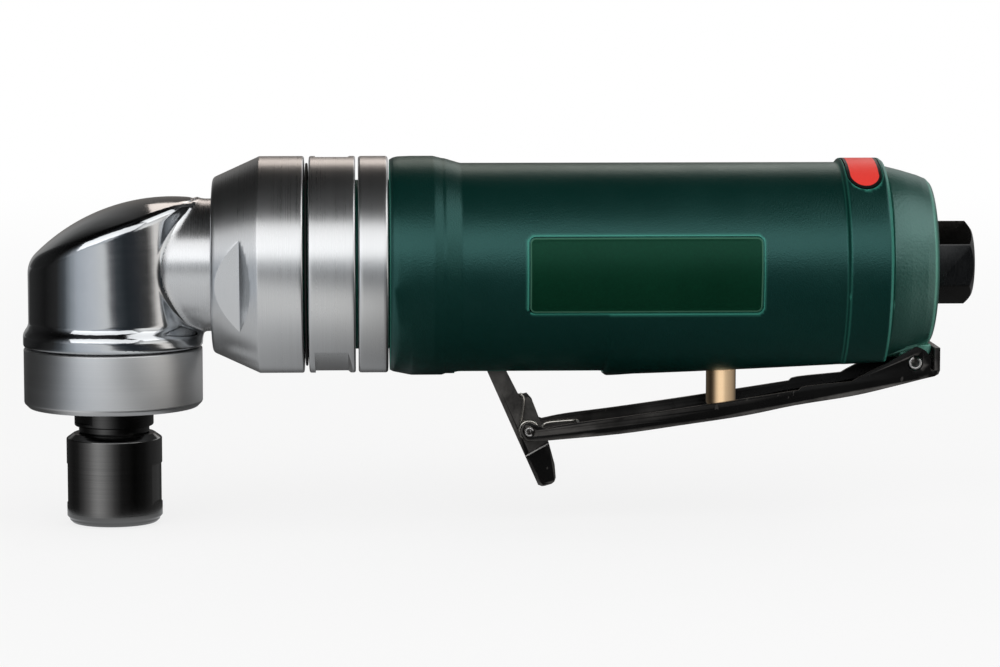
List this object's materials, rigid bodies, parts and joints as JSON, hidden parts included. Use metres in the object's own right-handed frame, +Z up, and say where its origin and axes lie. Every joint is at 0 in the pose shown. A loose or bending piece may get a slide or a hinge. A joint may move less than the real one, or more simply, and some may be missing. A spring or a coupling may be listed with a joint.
{
  "type": "right angle die grinder",
  "caption": "Compressed air die grinder with a right angle head, a collet nut, a round motor housing and a throttle lever with a folding lock lever underneath.",
  "frame": {"origin": "centre of the bounding box", "axes": "+X runs back along the motor from the head to the air inlet, +Y runs across the tool to its far side, +Z is up, away from the lever and the collet nut"},
  "size_m": [0.208, 0.0474, 0.0802],
  "materials": {
    "polished_metal": "polished",
    "satin_steel": "satin, finely turned",
    "black_steel": "black oxide, satin",
    "bare_steel": "ground",
    "dark_green": "fine textured, satin",
    "cap_green": "fine textured, satin",
    "plate_green": "smooth, satin",
    "label_red": "smooth, satin",
    "brass": "turned",
    "rubber": "matt",
    "felt": "felted",
    "composite": "matt, fibre filled"
  },
  "bodies": {
    "housing": {"angle_housing": "polished_metal", "bearing_cap": "satin_steel", "spindle_upper_bush": "brass", "spindle_bearing_outer": "bare_steel", "pinion_bearing_outer": "bare_steel", "coupling_nut": "satin_steel", "lock_ring": "satin_steel", "adapter_ring": "satin_steel", "ring_seal": "rubber", "motor_housing": "dark_green", "name_plate": "plate_green", "service_label": "label_red", "front_end_plate": "bare_steel", "rear_end_plate": "bare_steel", "cylinder_dowel": "bare_steel", "motor_cylinder": "bare_steel", "rotor_front_bearing_outer": "bare_steel", "rotor_rear_bearing_outer": "bare_steel", "valve_bushing": "brass", "valve_o_ring": "rubber", "valve_spring": "bare_steel", "exhaust_cap": "cap_green", "muffler_pad": "felt", "air_inlet_bushing": "black_steel", "inlet_o_ring": "rubber", "inlet_screen": "satin_steel", "lever_pin": "satin_steel"},
    "rotor_group": {"rotor": "bare_steel", "vane_1": "composite", "vane_2": "composite", "vane_3": "composite", "vane_4": "composite", "pinion": "bare_steel", "pinion_bearing_inner": "bare_steel", "rotor_front_bearing_inner": "bare_steel", "rotor_rear_bearing_inner": "bare_steel"},
    "front_cage": {"rotor_front_bearing_balls": "satin_steel"},
    "rear_cage": {"rotor_rear_bearing_balls": "satin_steel"},
    "pinion_cage": {"pinion_bearing_balls": "satin_steel"},
    "spindle_group": {"spindle": "black_steel", "bevel_gear": "bare_steel", "spindle_bearing_inner": "bare_steel"},
    "spindle_cage": {"spindle_bearing_balls": "satin_steel"},
    "collet_group": {"collet": "bare_steel"},
    "nut_group": {"collet_nut": "black_steel"},
    "throttle_group": {"throttle_lever": "black_steel", "lock_pin": "satin_steel", "lock_spring": "satin_steel"},
    "lock_group": {"lock_lever": "black_steel"},
    "valve_group": {"valve_stem": "brass", "valve_plug": "rubber"}
  },
  "joints": [
    {"name": "rotor_spin", "type": "hinge", "parent": "housing", "child": "rotor_group", "pos_m": [0, 0, 0.01639], "axis": [1, 0, 0], "continuous": true},
    {"name": "front_cage_spin", "type": "hinge", "parent": "housing", "child": "front_cage", "pos_m": [-0.045, 0, 0.01639], "axis": [1, 0, 0], "continuous": true},
    {"name": "rear_cage_spin", "type": "hinge", "parent": "housing", "child": "rear_cage", "pos_m": [0.0252, 0, 0.01639], "axis": [1, 0, 0], "continuous": true},
    {"name": "pinion_cage_spin", "type": "hinge", "parent": "housing", "child": "pinion_cage", "pos_m": [-0.0651, 0, 0.01639], "axis": [1, 0, 0], "continuous": true},
    {"name": "spindle_spin", "type": "hinge", "parent": "housing", "child": "spindle_group", "pos_m": [-0.0844, 0, 0], "axis": [0, 0, 1], "continuous": true},
    {"name": "spindle_cage_spin", "type": "hinge", "parent": "housing", "child": "spindle_cage", "pos_m": [-0.0844, 0, 0], "axis": [0, 0, 1], "continuous": true},
    {"name": "collet_release", "type": "slide", "parent": "spindle_group", "child": "collet_group", "axis": [0, 0, -1], "range_m": [0, 0.0015]},
    {"name": "nut_unscrew", "type": "hinge", "parent": "collet_group", "child": "nut_group", "pos_m": [-0.0844, 0, -0.03], "axis": [0, 0, -1], "range_deg": [0, 540]},
    {"name": "throttle_squeeze", "type": "hinge", "parent": "housing", "child": "throttle_group", "pos_m": [0.09086, 0, -0.00487], "axis": [0, 1, 0], "range_deg": [0, 6], "stiffness_Nm_per_rad": 4, "springref_deg": -8.59},
    {"name": "lock_fold", "type": "hinge", "parent": "throttle_group", "child": "lock_group", "pos_m": [0.00643, 0, -0.01964], "axis": [0, 1, 0], "range_deg": [0, 108]},
    {"name": "valve_lift", "type": "slide", "parent": "housing", "child": "valve_group", "axis": [0, 0, 1], "range_m": [0, 0.00437], "deforming": ["valve_spring"]}
  ],
  "couplings": [
    {"joint": "front_cage_spin", "follows": "rotor_spin", "ratio": 0.4},
    {"joint": "rear_cage_spin", "follows": "rotor_spin", "ratio": 0.4},
    {"joint": "pinion_cage_spin", "follows": "rotor_spin", "ratio": 0.4},
    {"joint": "spindle_spin", "follows": "rotor_spin", "ratio": 0.57143},
    {"joint": "spindle_cage_spin", "follows": "rotor_spin", "ratio": 0.22857},
    {"joint": "nut_unscrew", "follows": "collet_release", "rad_per_m": 6283.2},
    {"joint": "lock_fold", "follows": "throttle_squeeze", "ratio": 18},
    {"joint": "valve_lift", "follows": "throttle_squeeze", "m_per_rad": 0.0416}
  ]
}
